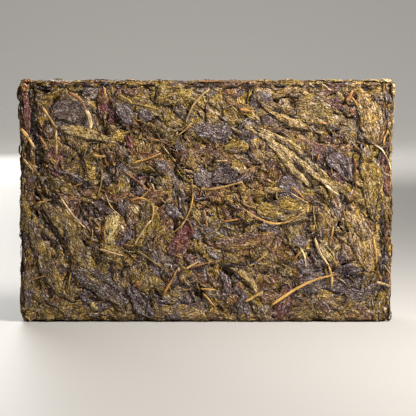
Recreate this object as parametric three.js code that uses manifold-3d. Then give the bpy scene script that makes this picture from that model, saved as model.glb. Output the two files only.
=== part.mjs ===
// A brick of pressed tea: whole leaves, buds and stalks squeezed together in a rectangular mould
// until they hold as one slab. It stands on one long edge. X runs along the brick, Y through its
// thickness with the front face towards -Y, and Z up from the edge that it stands on.
// Everything is in millimetres.

import * as THREE from "three";
import { mergeVertices } from "three/addons/utils/BufferGeometryUtils.js";
import Module from "manifold-3d";

// The inside of the mould, which every leaf is pressed against
const LENGTH = 140;
const DEPTH = 22;
const HEIGHT = 91;

// The skin is a grid that follows the tops of the leaves, about this far apart
const CELL = 4.0;
const CORNER_ROUNDING = 1.6;
const JITTER = 0.55;
const JITTER_WAVES = new THREE.Vector3(12.9898, 78.233, 37.719);
const ON_FACE = 1e-6;

// Leaves of the skin: pointed at both ends, a little crowned, each pressed in to its own depth
const LEAF_LENGTH = [18, 38];
const LEAF_WIDTH = [5.5, 11];
const LEAF_BOW = 3;
const LEAF_TAPER = 0.6;
const LEAF_CROWN = 0.8;
const LEAF_SLANT = 0.09;
const LEAF_SUNK = [0.5, 1.5];
const GAP_SUNK = 1.8;
const EDGE_MARGIN = 1;

// Which way the leaves lie on a broad face, in degrees and mm: along its edge within the border,
// and elsewhere aslant in long swirls
const BORDER = 8;
const BORDER_SPREAD = 8;
const SLANT = -38;
const SLANT_SPREAD = 35;
const SWIRL = 50;
const SWIRL_WIDTH = 17;
const SWIRL_HEIGHT = 13;
const SWIRL_START = 0.8;

// Leaves on top of the skin: folded along their middle, so that the section is a diamond
const FOLDED_SIDES = 4;
const FOLDED_STATIONS = 5;
const FOLDED_LENGTH = [22, 36];
const FOLDED_WIDTH = [4.5, 7.5];
const FOLDED_THICKNESS = 3.2;
const FOLDED_LIFT = 0.75;
const FOLDED_BOW = 3;
const FIRST_FOLDED = 7;

// Stalks: thin twigs that follow the skin, most of their depth sunk into it
const STALK_SIDES = 5;
const STALK_STATIONS = 4;
const STALK_LENGTH = [14, 26];
const STALK_WIDTH = [1.0, 1.5];
const STALK_THICKNESS = 2.2;
const STALK_LIFT = 0.45;
const STALK_BOW = 1.8;
const FIRST_STALK = 50;

// Every folded leaf and stalk stays this far inside the edges of its face
const SIDE_MARGIN = 2.4;

// The leaves that stand out on the front face: where each one starts and ends, measured right of
// the middle and up from the foot, then its bow to the left of that line and its width
const FRONT_LEAVES = [
  ["pale_leaf_upper_left", [-55.6, 73.4], [-34.1, 68.1], 0.8, 4.2],
  ["long_pale_leaf", [14.0, 74.9], [50.3, 48.4], 3.0, 5.4],
  ["leaf_below_the_long_one", [22.5, 70.6], [39.6, 51.0], 1.0, 5.5],
  ["leaf_above_the_long_one", [20.2, 84.2], [43.4, 73.6], -1.5, 6.0],
  ["brown_strip_left_edge", [-68.6, 90.2], [-66.8, 70.5], 0.2, 3.0],
  ["brown_strip_left_middle", [-39.5, 68.4], [-33.5, 52.7], 0.6, 3.6],
  ["round_leaf_top", [-21.0, 84.6], [-4.8, 86.4], 0.6, 8.0],
  ["dark_leaf_right", [39.0, 70.5], [57.0, 51.0], 1.2, 10.0],
  ["folded_bud_leaf", [-38.3, 28.6], [-32.8, 42.6], 1.2, 5.5],
  ["heart_shaped_leaf", [-26.8, 28.4], [-20.7, 47.0], -1.2, 8.0],
  ["maroon_leaf", [-13.7, 25.2], [-4.6, 36.8], 0.4, 6.5],
  ["pale_leaf_lower_middle", [6.2, 22.2], [20.0, 10.0], 1.8, 3.6],
  ["slate_leaf_lower_left", [-51.0, 19.5], [-29.6, 6.9], 0.8, 9.0],
  ["slate_leaf_foot", [-29.0, 14.5], [-19.8, 1.6], -0.6, 6.5],
  ["bluish_leaf", [-34.0, 25.0], [-21.5, 18.0], 0.6, 6.5],
  ["leaf_lower_left", [-66.4, 38.3], [-53.6, 9.4], -1.0, 6.5],
  ["leaf_left_middle", [-61.9, 46.5], [-44.6, 19.9], 1.2, 6.5],
  ["tan_leaf_right", [53.5, 42.7], [62.8, 18.9], 0.8, 8.0],
  ["curled_dark_leaf", [-58.2, 79.5], [-43.2, 79.5], 1.0, 8.0],
  ["dark_leaf_foot_right", [36.4, 11.0], [57.5, 4.0], 0.6, 9.0],
  ["blue_leaf_top_middle", [-4.3, 75.8], [10.6, 66.5], 0.4, 8.0],
  ["round_leaf_middle", [19.0, 43.5], [39.0, 43.0], -1.0, 9.0],
  ["brown_leaf_middle", [3.0, 29.3], [26.0, 33.8], -0.8, 6.5],
  ["tan_leaf_upper_right", [57.3, 86.5], [63.8, 66.0], 0.6, 8.0],
  ["olive_leaf_right_edge", [60.0, 66.5], [64.0, 38.0], 0.6, 8.5],
];

// The stalks that stand out on the front face, in the same form
const FRONT_STALKS = [
  ["curled_stalk", [-51.1, 86.4], [-43.3, 73.4], 2.7, 1.1],
  ["left_stalk", [-61.4, 82.1], [-55.4, 73.4], -0.5, 1.0],
  ["gold_stalk_upper_left", [-27.9, 60.1], [-16.7, 64.2], 0.0, 0.9],
  ["pale_stalk_top", [1.5, 88.1], [-7.6, 75.3], -1.6, 0.9],
  ["broad_stalk_left_edge", [-69.4, 73.9], [-64.3, 66.6], 0.0, 1.5],
  ["twig_under_leaf", [-16.7, 67.1], [-11.4, 60.8], 0.0, 0.9],
  ["stalk_right_edge", [62.0, 68.3], [68.2, 57.0], 2.0, 0.9],
  ["red_stalk_right", [56.1, 62.4], [56.4, 50.7], 0.0, 1.0],
  ["gold_stalk_middle", [-2.3, 50.7], [13.2, 53.4], -0.8, 0.9],
  ["olive_stalk_middle", [-4.7, 49.2], [-12.9, 33.8], 2.2, 0.9],
  ["orange_stalk_low", [-16.7, 9.1], [-11.0, 20.2], 0.0, 1.1],
  ["tan_stalk_left", [-54.9, 48.2], [-45.2, 35.7], -0.8, 0.9],
  ["arched_stalk", [15.1, 42.9], [37.5, 42.4], -5.0, 0.9],
  ["cream_stalk_right", [41.2, 32.3], [46.5, 21.7], -0.7, 1.1],
  ["long_stalk_low_right", [24.7, 6.0], [49.4, 18.3], 1.9, 1.2],
  ["dark_twig", [5.4, 22.2], [16.1, 21.2], -0.3, 1.0],
  ["gold_stalk_low", [14.4, 7.7], [21.9, 11.8], 0.0, 1.1],
];

const X = new THREE.Vector3(1, 0, 0);
const Y = new THREE.Vector3(0, 1, 0);
const Z = new THREE.Vector3(0, 0, 1);
const MIDDLE = new THREE.Vector3(0, 0, HEIGHT / 2);
const degrees = THREE.MathUtils.degToRad;

// Each face of the brick: its own right and up directions, its size along them, how many leaves
// make its skin, how many folded leaves and stalks lie on that, which way they lie, and how far
// the skin is pressed flush with the mould
const FRONT = {
  right: X,
  up: Z,
  size: [LENGTH, HEIGHT],
  leaves: 64,
  folded: 0,
  stalks: 0,
  lie: broadFaceLie,
  flush: 0,
  namedLeaves: FRONT_LEAVES,
  namedStalks: FRONT_STALKS,
};
const BACK = {
  right: X.clone().negate(),
  up: Z,
  size: [LENGTH, HEIGHT],
  leaves: 64,
  folded: 24,
  stalks: 10,
  lie: broadFaceLie,
  flush: 0,
};
const TOP = {
  right: X,
  up: Y,
  size: [LENGTH, DEPTH],
  leaves: 24,
  folded: 6,
  stalks: 2,
  lie: edgeLie,
  flush: 0.2,
};
const FOOT = {
  right: X,
  up: Y.clone().negate(),
  size: [LENGTH, DEPTH],
  leaves: 44,
  folded: 0,
  stalks: 0,
  lie: edgeLie,
  flush: 1.1,
};
const END = { size: [HEIGHT, DEPTH], leaves: 16, folded: 4, stalks: 0, lie: edgeLie, flush: 0.4 };
const LEFT_END = { right: Z, up: Y, ...END };
const RIGHT_END = { right: Z, up: Y.clone().negate(), ...END };
const FACES = [FRONT, BACK, TOP, FOOT, LEFT_END, RIGHT_END];

// A number from 0 to 1 that fills its range evenly as the index rises, one step for each use
const STEPS = [0.7548776662, 0.569840291, Math.SQRT2, Math.sqrt(3), Math.sqrt(5), Math.sqrt(7)];
function spread(index, use) {
  return (0.5 + (index + 1) * STEPS[use]) % 1;
}

// The same, from -1 to 1
function sway(index, use) {
  return 2 * spread(index, use) - 1;
}

function between([low, high], share) {
  return low + (high - low) * share;
}

// Leaves lie every way on the broad faces, in long swirls, and along the border near the edges
function broadFaceLie(x, y, [width, height], turn) {
  if (width / 2 - Math.abs(x) < BORDER) return degrees(90 + BORDER_SPREAD * turn);
  if (height / 2 - Math.abs(y) < BORDER / 2) return degrees(BORDER_SPREAD * turn);
  const swirl = Math.sin(x / SWIRL_WIDTH + SWIRL_START) * Math.cos(y / SWIRL_HEIGHT);
  return degrees(SLANT + SWIRL * swirl + SLANT_SPREAD * turn);
}

// On the narrow faces they lie along the slab
function edgeLie(x, y, size, turn) {
  return degrees(BORDER_SPREAD * turn);
}

// A piece that is given by its two ends, on a face that is measured from its middle
function fromEnds([, start, end, bow, width]) {
  const run = [end[0] - start[0], end[1] - start[1]];
  return {
    at: [(start[0] + end[0]) / 2, (start[1] + end[1] - HEIGHT) / 2],
    angle: Math.atan2(run[1], run[0]),
    length: Math.hypot(...run),
    bow,
    width,
  };
}

// Piece number index of those spread over a face
function spreadPiece(face, index, lengths, widths, bow) {
  const at = face.size.map((side, axis) => sway(index, axis) * (side / 2 - EDGE_MARGIN));
  return {
    at,
    angle: face.lie(at[0], at[1], face.size, sway(index, 5)),
    length: between(lengths, spread(index, 2)),
    width: between(widths, spread(index, 3)),
    bow: bow * sway(index, 4) * (face.size[1] / HEIGHT),
  };
}

// The same piece, moved in until it lies wholly on its face
function keptOnFace(face, piece) {
  const reach = piece.length / 2;
  const spans = [Math.abs(Math.cos(piece.angle)), Math.abs(Math.sin(piece.angle))];
  const at = piece.at.map((place, axis) => {
    const room = face.size[axis] / 2 - SIDE_MARGIN - spans[axis] * reach - piece.width / 2;
    return THREE.MathUtils.clamp(place, -Math.max(room, 0), Math.max(room, 0));
  });
  return { ...piece, at };
}

function leavesOf(face) {
  return Array.from({ length: face.leaves }, (_, i) => ({
    ...spreadPiece(face, i, LEAF_LENGTH, LEAF_WIDTH, LEAF_BOW),
    sunk: between(LEAF_SUNK, spread(i, 4)) - face.flush,
    slant: LEAF_SLANT * sway(i, 3),
  }));
}

function foldedLeavesOf(face) {
  const folded = Array.from({ length: face.folded }, (_, i) =>
    spreadPiece(face, i + FIRST_FOLDED, FOLDED_LENGTH, FOLDED_WIDTH, FOLDED_BOW),
  );
  const named = (face.namedLeaves ?? []).map(fromEnds);
  return [...folded, ...named].map((leaf) => keptOnFace(face, leaf));
}

function stalksOf(face) {
  const stalks = Array.from({ length: face.stalks }, (_, i) =>
    spreadPiece(face, i + FIRST_STALK, STALK_LENGTH, STALK_WIDTH, STALK_BOW),
  );
  const named = (face.namedStalks ?? []).map(fromEnds);
  return [...stalks, ...named].map((stalk) => keptOnFace(face, stalk));
}

// How high a leaf's top is over the point (x, y) of its face, counted from the mould's wall
function leafTop(leaf, x, y) {
  const dx = x - leaf.at[0];
  const dy = y - leaf.at[1];
  const along = (2 * (dx * Math.cos(leaf.angle) + dy * Math.sin(leaf.angle))) / leaf.length;
  if (Math.abs(along) >= 1) return -GAP_SUNK;
  const round = 1 - along * along;
  const across = dy * Math.cos(leaf.angle) - dx * Math.sin(leaf.angle) - leaf.bow * round;
  const side = (2 * across) / (leaf.width * round ** LEAF_TAPER);
  if (Math.abs(side) >= 1) return -GAP_SUNK;
  return LEAF_CROWN * (Math.sqrt(1 - side * side) - 1) + leaf.slant * across - leaf.sunk;
}

// The height of the uppermost leaf there, flattened by the mould
function relief(leaves, x, y) {
  const top = leaves.reduce((high, leaf) => Math.max(high, leafTop(leaf, x, y)), -GAP_SUNK);
  return Math.min(0, top + LEAF_CROWN / 2);
}

function outwardOf(face) {
  return new THREE.Vector3().crossVectors(face.right, face.up);
}

// How far a face lies from the middle of the brick
function faceDistance(face) {
  return Math.abs(outwardOf(face).dot(new THREE.Vector3(LENGTH / 2, DEPTH / 2, HEIGHT / 2)));
}

// The slab: a box of small cells, its points moved a little along each face so that they don't
// stand in rows, its edges rounded, and its skin let down onto the leaves
function slabForm() {
  const size = new THREE.Vector3(LENGTH, DEPTH, HEIGHT);
  const cells = size.toArray().map((side) => Math.round(side / CELL));
  const form = new THREE.BoxGeometry(...size.toArray(), ...cells);
  const points = form.getAttribute("position");
  const faces = FACES.map((face) => ({
    ...face,
    outward: outwardOf(face),
    distance: faceDistance(face),
    pieces: leavesOf(face),
  }));
  const half = size.clone().multiplyScalar(0.5);
  const inner = half.clone().subScalar(CORNER_ROUNDING);
  for (let i = 0; i < points.count; i += 1) {
    const start = new THREE.Vector3().fromBufferAttribute(points, i);
    const point = start.clone();
    for (const axis of ["x", "y", "z"]) {
      const free = half[axis] - Math.abs(start[axis]) > CELL / 2;
      const wobble = Math.sin(start.dot(JITTER_WAVES) + half[axis]);
      if (free) point[axis] += JITTER * wobble;
    }
    const sunk = new THREE.Vector3();
    for (const face of faces) {
      if (start.dot(face.outward) < face.distance - ON_FACE) continue;
      const depth = relief(face.pieces, point.dot(face.right), point.dot(face.up));
      sunk.addScaledVector(face.outward, depth);
    }
    const kept = point.clone().clamp(inner.clone().negate(), inner);
    const rounded = kept.clone().addScaledVector(point.sub(kept).normalize(), CORNER_ROUNDING);
    points.setXYZ(i, ...rounded.add(sunk).add(MIDDLE).toArray());
  }
  return form;
}

// Lays a round form that runs from -1 to 1 along x, with a radius of 1, on a face: its line becomes
// an arch of the piece's bow, its section the piece's width and the given thickness, and its top
// stands the given lift above the skin all along
function lay(form, face, piece, { thickness, lift, taper }) {
  const skin = leavesOf(face);
  const turn = [Math.cos(piece.angle), Math.sin(piece.angle)];
  const onFace = (x, y) => [
    piece.at[0] + x * turn[0] - y * turn[1],
    piece.at[1] + x * turn[1] + y * turn[0],
  ];
  const points = form.getAttribute("position");
  for (let i = 0; i < points.count; i += 1) {
    const along = points.getX(i);
    const round = 1 - along * along;
    const girth = taper > 0 ? Math.max(round, 0) ** taper / Math.sqrt(round || 1) : 1;
    const across = (points.getY(i) * girth * piece.width) / 2;
    const slope = (-4 * piece.bow * along) / piece.length;
    const lean = Math.hypot(1, slope);
    const middle = onFace((along * piece.length) / 2, piece.bow * round);
    const [x, y] = onFace(
      (along * piece.length) / 2 - (across * slope) / lean,
      piece.bow * round + across / lean,
    );
    const top = Math.min(relief(skin, ...middle) + lift, 0);
    points.setXYZ(i, x, y, top + (points.getZ(i) * girth - 1) * (thickness / 2));
  }
  const outward = outwardOf(face);
  const place = new THREE.Matrix4().makeBasis(face.right, face.up, outward);
  place.setPosition(MIDDLE.clone().addScaledVector(outward, faceDistance(face)));
  return form.applyMatrix4(place);
}

function foldedLeafForm(face, leaf) {
  const form = new THREE.SphereGeometry(1, FOLDED_SIDES, FOLDED_STATIONS).rotateZ(Math.PI / 2);
  return lay(form, face, leaf, {
    thickness: FOLDED_THICKNESS,
    lift: FOLDED_LIFT,
    taper: LEAF_TAPER,
  });
}

function stalkForm(face, stalk) {
  const form = new THREE.CylinderGeometry(1, 1, 2, STALK_SIDES, STALK_STATIONS);
  form.rotateZ(Math.PI / 2);
  return lay(form, face, stalk, { thickness: STALK_THICKNESS, lift: STALK_LIFT, taper: 0 });
}

function mouldForm() {
  return new THREE.BoxGeometry(LENGTH, DEPTH, HEIGHT).translate(...MIDDLE.toArray());
}

const wasm = await Module();
wasm.setup();

function toSolid(form) {
  form.deleteAttribute("normal");
  form.deleteAttribute("uv");
  const merged = mergeVertices(form);
  return new wasm.Manifold(
    new wasm.Mesh({
      numProp: 3,
      vertProperties: merged.getAttribute("position").array,
      triVerts: new Uint32Array(merged.index.array),
    }),
  );
}

function toGeometry(solid) {
  const mesh = solid.getMesh();
  const form = new THREE.BufferGeometry();
  form.setAttribute("position", new THREE.BufferAttribute(mesh.vertProperties, 3));
  form.setIndex(new THREE.BufferAttribute(mesh.triVerts, 1));
  form.computeVertexNormals();
  return form;
}

// The folded leaves and stalks are joined to the slab, all is trimmed to the mould, and the one
// outer skin is kept, so that no loose scrap and no sealed hollow is left
function pressedBrick() {
  const pieces = FACES.flatMap((face) => [
    ...foldedLeavesOf(face).map((leaf) => foldedLeafForm(face, leaf)),
    ...stalksOf(face).map((stalk) => stalkForm(face, stalk)),
  ]);
  const joined = pieces
    .map(toSolid)
    .reduce((whole, piece) => whole.add(piece), toSolid(slabForm()));
  const trimmed = joined.intersect(toSolid(mouldForm()));
  return trimmed.decompose().reduce((a, b) => (a.volume() > b.volume() ? a : b));
}

const pressedLeaf = new THREE.MeshStandardMaterial({
  color: new THREE.Color().setRGB(0.45, 0.36, 0.26, THREE.SRGBColorSpace),
  roughness: 0.62,
  metalness: 0,
});

const brick = new THREE.Mesh(toGeometry(pressedBrick()), pressedLeaf);
brick.name = "tea_brick";

const group = new THREE.Group();
group.name = "pressed_tea_brick";
group.add(brick);

export default group;
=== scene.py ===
"""A brick of pressed tea, leaf by leaf.

A core fills the mould, its dark colour painted shade for the gaps where it shows between the leaves.
Leaves fall on each of its faces, every one where the pile is lowest, and drape over what already lies
there. All is pressed against the walls of the mould at the end.
The leaves and stalks that stand out on the front face come last, in their true places. The making
is in millimetres, with a face's own right, up and height, and the meshes are in metres.
"""

import math

import bmesh
import bpy
import numpy as np
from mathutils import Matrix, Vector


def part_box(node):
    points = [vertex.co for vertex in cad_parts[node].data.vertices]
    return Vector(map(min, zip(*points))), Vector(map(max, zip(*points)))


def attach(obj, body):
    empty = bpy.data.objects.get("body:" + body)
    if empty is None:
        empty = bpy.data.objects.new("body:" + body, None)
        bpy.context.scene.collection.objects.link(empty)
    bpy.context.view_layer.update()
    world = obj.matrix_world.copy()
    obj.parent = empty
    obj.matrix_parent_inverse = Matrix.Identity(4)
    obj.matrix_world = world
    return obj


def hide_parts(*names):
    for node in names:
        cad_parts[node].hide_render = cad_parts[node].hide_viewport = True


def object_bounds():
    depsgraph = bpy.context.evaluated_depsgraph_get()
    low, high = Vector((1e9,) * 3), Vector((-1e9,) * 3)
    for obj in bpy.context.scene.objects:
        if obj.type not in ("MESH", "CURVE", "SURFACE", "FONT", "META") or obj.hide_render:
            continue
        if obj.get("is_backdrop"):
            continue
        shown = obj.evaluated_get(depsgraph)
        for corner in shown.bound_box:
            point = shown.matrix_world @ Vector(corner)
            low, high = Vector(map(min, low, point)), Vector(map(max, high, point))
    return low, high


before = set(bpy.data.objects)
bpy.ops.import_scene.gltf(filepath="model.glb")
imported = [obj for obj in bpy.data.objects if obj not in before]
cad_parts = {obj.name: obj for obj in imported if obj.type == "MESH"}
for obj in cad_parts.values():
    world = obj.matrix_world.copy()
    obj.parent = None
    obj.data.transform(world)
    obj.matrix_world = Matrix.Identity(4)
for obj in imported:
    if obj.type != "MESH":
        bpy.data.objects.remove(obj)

CAD_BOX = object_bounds()
MM = 0.001
NODE = "tea_brick"

# The mould, as the CAD part has it
LOW, HIGH = (np.array(corner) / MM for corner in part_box(NODE))
LENGTH, DEPTH, HEIGHT = HIGH - LOW
CENTRE = (LOW + HIGH) / 2
EDGE_ROUNDING = 0.95

# The pile of leaves over each face, in millimetres. Heights count from the mould's wall.
PITCH = 0.3
PAST_EDGE = 6.0
CORE_DEPTHS = np.array((3.2, 4.1, 3.2))
CORE_CELL = 2.4
CORE_SHADE_COLOUR = (34, 27, 20)
CORE_UNEVEN = (-0.2, 0.1)
PRESS_FROM = -0.5
PRESS_ROOM = 0.8
WALL_WAVE = 0.35
WALL_CELL = 6.0
TABLE_ROOM = 0.3
RIM_ROOM = 1.0
MM2_PER_CM2 = 100

# Cracks: CRACK_CELLS is how far one reaches in the pile's cells, CRACK_RUN and CRACK_GAP count its points.
# Leaves over a crack are darkened and dark strips are laid along it, both painted shade
CRACK_DEPTH = 0.8
CRACK_REACH = 0.8
CRACK_CELLS = 9
FULL_CRACK = 1.4
CRACKS_PER_CM2 = 0.5
CRACK_LENGTH = (5, 14)
CRACK_WIDTH = (0.4, 0.9)
CRACK_STEP = 0.4
CRACK_KNOT = 2.5
CRACK_STRAY = 0.4
CRACK_RUN = (6, 16)
CRACK_GAP = (0, 4)
CRACK_BEND = 0.1
CRACK_PAINTED_SHADE = 0.6
CRACK_SHADOW_STRIP = (0.5, 1.1)
CRACK_MESH = (0.9, 0.5)
CRACK_OWN_COLOUR = 30.0
CRACK_LIFT = 0.16
CRACK_SUNK = 0.45
HIDDEN_BY = 0.6

# Leaves by size, the lowest layer first: how many on each square centimetre, length, width, bow,
# how blunt the ends are, and the size of the mesh's cells along and across
LEAF_SIZES = [
    ("bed", 1.4, (18, 30), (6.0, 10.0), 3.0, 0.2, (2.6, 2.2)),
    ("rolled", 1.8, (12, 28), (1.6, 3.6), 2.6, 0.15, (1.4, 0.7)),
    ("crumpled", 3.1, (12, 27), (4.2, 8.4), 2.6, 0.16, (1.2, 0.85)),
    ("torn", 1.5, (4, 10), (2.5, 5.5), 0.6, 0.5, (1.0, 0.85)),
    ("shadow_strip", 1.2, (3, 9), (0.7, 1.3), 0.6, 0.3, (1.1, 0.55)),
]
BROAD = ((9, 17), (6.5, 10.5), 1.2, 0.35, (1.3, 1.1))
BROAD_PER_CM2 = {"front": 0.75, "back": 0.4}
CRUMBS = ("crumb", 1.3, (1.5, 4.5), (0.5, 1.4), 0.3, 0.4, (0.9, 0.6))
TRIES = 6
NARROW_BELOW = 30
BED_PAINTED_SHADE = 0.5

# One leaf's shape, in millimetres or as shares: its outline, its folds, how its rim and tips lie and
# what stays of its folds after the pressing. ROWS and COLUMNS are the fewest and most cells of its mesh.
LEAF_THICKNESS = 0.18
RIM_THINNING = 0.6
ROWS = (3, 28)
COLUMNS = (2, 10)
STRAY = 0.08
MOST_STRAY = 0.5
TAPER = (1.6, 3.0)
FULLNESS = 0.6
RAGGED = 0.3
TIP_SINK = 0.2
PILE_CELLS = 1.4
RIM_LIFT = 0.5
CLEARANCE = 0.05
PLEAT = 0.5
BROAD_RELIEF = 0.5
CRUMPLE = 0.2
CROWN = 0.12
TILT = 0.1
KEPT_RELIEF = 0.4
FRONT_FINENESS = 0.84

# Its shades, as factors on its colour: its middle, its folds, along it, across it and at its rim. The folds'
# factor is painted light and shade, lighter on the crests, and the rim's is painted shade at its rim and tips
LEAF_TONE = 1.1
PLEAT_LIGHT_AND_SHADE = 0.25
TONE_ALONG = 0.15
TONE_ACROSS = 0.1
TONE_LIMITS = (0.5, 1.6)
RIM_PAINTED_SHADE = 0.6
LEAF_SHADES = (0.76, 1.28)

# How leaves lie on a broad face: along its ends and its long borders, round a swirl, else aslant and
# in slow waves. Angles are in degrees.
END_BORDER = 6.0
LONG_BORDER = 3.5
BORDER_SPREAD = 7
SWIRL_RADIUS = 15
SWIRL_SPREAD = 20
SLOW_WAVE = (9, 21)
CROSSED_WAVE = (14, 15, 12)
FLOW_SPREAD = 38
EDGE_SPREAD = 6
FRONT_SWIRL = (-50.7, 33.2)
FRONT_SLANT = -42
BACK_SWIRL = (34.0, -12.0)
BACK_SLANT = -30

# Stalks and slivers scattered between them: how many on each square centimetre, length and width
STALK_SIZES = [
    (0.22, (5, 14), (0.4, 0.75)),
    (1.3, (1.2, 4.5), (0.3, 0.6)),
]
LONG_STALKS = [(0.3, (9, 22), (0.6, 1.1))]

# One stalk's shape and shade, in the same way
STALK_SIDES = 6
STALK_STEP = 0.9
STALK_TRIES = 3
STALK_SPREAD = 25
STALK_BEND = 0.1
STALK_STRAY = 0.2
STALK_TAPER = 0.35
STALK_UNEVEN = 0.2
STALK_END_TAPER = 0.75
STALK_HEIGHT = 0.3
STALK_WAVE = 0.22
STALK_END_SINK = 0.7
STALK_TONE = 0.95
STALK_TONE_WAVE = 0.5
STALK_TONE_LIMITS = (0.35, 1.4)
STALK_SHADES = (0.6, 1.05)
NAMED_STALK_SHADES = (0.9, 1.15)

# Colours in sRGB, 0 to 255
LEAF_COLOURS = {
    "olive": [(138, 111, 34), (118, 96, 30), (148, 119, 44)],
    "tan": [(164, 131, 68), (148, 117, 60), (172, 140, 84)],
    "brown": [(122, 78, 36), (104, 68, 34), (132, 90, 42)],
    "slate": [(98, 84, 86), (80, 68, 78), (112, 98, 94)],
    "maroon": [(122, 50, 50), (98, 48, 42)],
    "pale": [(212, 188, 128)],
    "gold": [(176, 149, 94)],
    "dusk": [(84, 70, 54)],
    "rust": [(166, 100, 50)],
    # dark colours only the strips laid along the cracks: a painted shadow
    "dark": [(38, 27, 19)],
}
LEAF_SHARES = {"olive": 0.37, "tan": 0.15, "brown": 0.26, "slate": 0.19, "maroon": 0.03}
EDGE_SHARES = {"olive": 0.46, "tan": 0.2, "brown": 0.26, "slate": 0.08}
STALK_COLOURS = {
    "gold": (184, 142, 76),
    "pale": (182, 150, 102),
    "orange": (164, 116, 60),
    "russet": (140, 96, 54),
    "cream": (208, 180, 130),
    "olive": (146, 120, 60),
    "dark": (70, 48, 34),
}
STALK_SHARES = {"gold": 0.16, "pale": 0.06, "orange": 0.08, "russet": 0.16, "olive": 0.34, "dark": 0.2}

# Soft patches of colour that run over several leaves
PATCH_COLOURS = {
    "yellow": (162, 134, 52),
    "olive": (134, 108, 40),
    "tan": (162, 134, 90),
    "gold": (162, 114, 52),
    "brown": (110, 77, 44),
    "plum": (70, 48, 60),
    "slate": (64, 60, 77),
    "maroon": (94, 56, 42),
    "dark": (58, 45, 34),
}
PATCH_SHARES = {
    "yellow": 0.2,
    "olive": 0.2,
    "tan": 0.1,
    "brown": 0.16,
    "plum": 0.18,
    "slate": 0.06,
    "dark": 0.1,
}
PATCHES_PER_CM2 = 0.6
PATCH_REACH = (2.5, 7.0)

# How strongly a leaf's own colour counts against the patches, and how the named leaves differ
OWN_COLOUR = 1.7
NAMED_COLOUR = 1.6
NAMED_SHADE = 1.05
NAMED_BLUNT = 0.12
NAMED_STIFF = 5
NAMED_LIFT = 0.18
NAMED_RELIEF = 0.7
STALK_LIFT = 0.3
NAMED_STALK_LIFT = 0.55

# Those of the front face by colour: right of the middle, up from the foot, and reach
FRONT_PATCHES = {
    # Painted shade: the broad dark patches along the foot and the left edge make the face darker towards them
    "dark": [
        (-64, 58, 13), (-66, 76, 12), (-54, 8, 18), (-18, 4, 14), (-68, 42, 14), (-60, 24, 12),
        (-32, 2, 13), (4, 2, 12), (34, 4, 13), (64, 6, 10), (-46, 24, 9), (50, 4, 12),
        (-63, 26, 15), (-36, 10, 13), (28, 6, 11), (2.8, 70.6, 5), (-62.7, 58, 4.5), (-20, 57, 4),
        (10.4, 70.6, 3), (21.2, 64, 5), (-24.6, 7.5, 4), (-60.5, 29.9, 7), (27.7, 18.8, 4.5),
    ],
    "brown": [
        (12, 20, 12), (0, 4, 9), (-39.8, 48.1, 6), (30.5, 61.3, 4.5), (-53.5, 20.4, 5),
    ],
    "gold": [
        (67, 89, 5), (12.5, 83, 4), (62.5, 87, 6), (7, 48.6, 4),
    ],
    "tan": [
        (34, 78, 12), (52, 40, 12), (-52, 63, 6), (1, 79, 4), (30.5, 81.4, 6.5), (40, 84, 8),
        (63.3, 76.7, 5.5), (16.5, 54, 4), (-7.7, 14.8, 5), (-1.2, 41, 2.5), (30.5, 33.8, 5),
        (58.6, 35.2, 7), (46.9, 29.1, 3),
    ],
    "slate": [
        (-31.5, 79.3, 4.5), (-29.2, 56.4, 3.5), (7, 76.5, 4.5), (47.4, 83.3, 4.5), (52, 76, 5),
        (34.2, 51, 3.5), (-27.9, 21.2, 5), (1.5, 35.2, 4.5), (51.6, 11.3, 7),
    ],
    "yellow": [
        (-12.3, 84.4, 7), (-39.8, 63.7, 4), (2, 84.6, 5), (8.5, 65, 4), (43.1, 79.5, 4),
        (-33.8, 36.4, 2.6), (-17.8, 27.2, 6), (-33.4, 7.9, 2), (-66.5, 3, 3.5), (-43.1, 6.1, 1.6),
        (-26.9, 42.4, 3), (8.5, 29.6, 4.5), (32.8, 42.2, 5.5), (27.7, 9.5, 4), (42.7, 11.8, 2),
        (66.5, 3, 3.5), (7, 4, 4),
    ],
    "plum": [
        (-22.5, 79.5, 5), (-2.2, 71.5, 6), (-67, 67.4, 5), (-66.5, 54, 4.5), (22, 84, 4),
        (49.3, 58, 7.5), (50, 70, 8), (5.7, 58, 5), (-10.9, 42.3, 3.5), (-39.8, 10.7, 7),
        (-12.3, 6.5, 5), (16.5, 30, 5), (8.5, 13.2, 5), (37.5, 20.2, 5), (32.8, 3.4, 5),
    ],
    "maroon": [
        (-67.4, 79, 4), (54, 86, 3.5), (57, 70, 3), (-0.4, 47.2, 4), (-9.5, 30, 4.5),
    ],
    "olive": [
        (-60, 79, 5), (-46.7, 77, 6), (-10, 54, 7), (63.3, 55.6, 7), (24, 49, 5), (44.5, 48, 5),
        (-56.8, 10.2, 5.5), (-44, 22, 7), (-20.5, 39, 4), (63.3, 17.9, 5),
    ],
}

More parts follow.
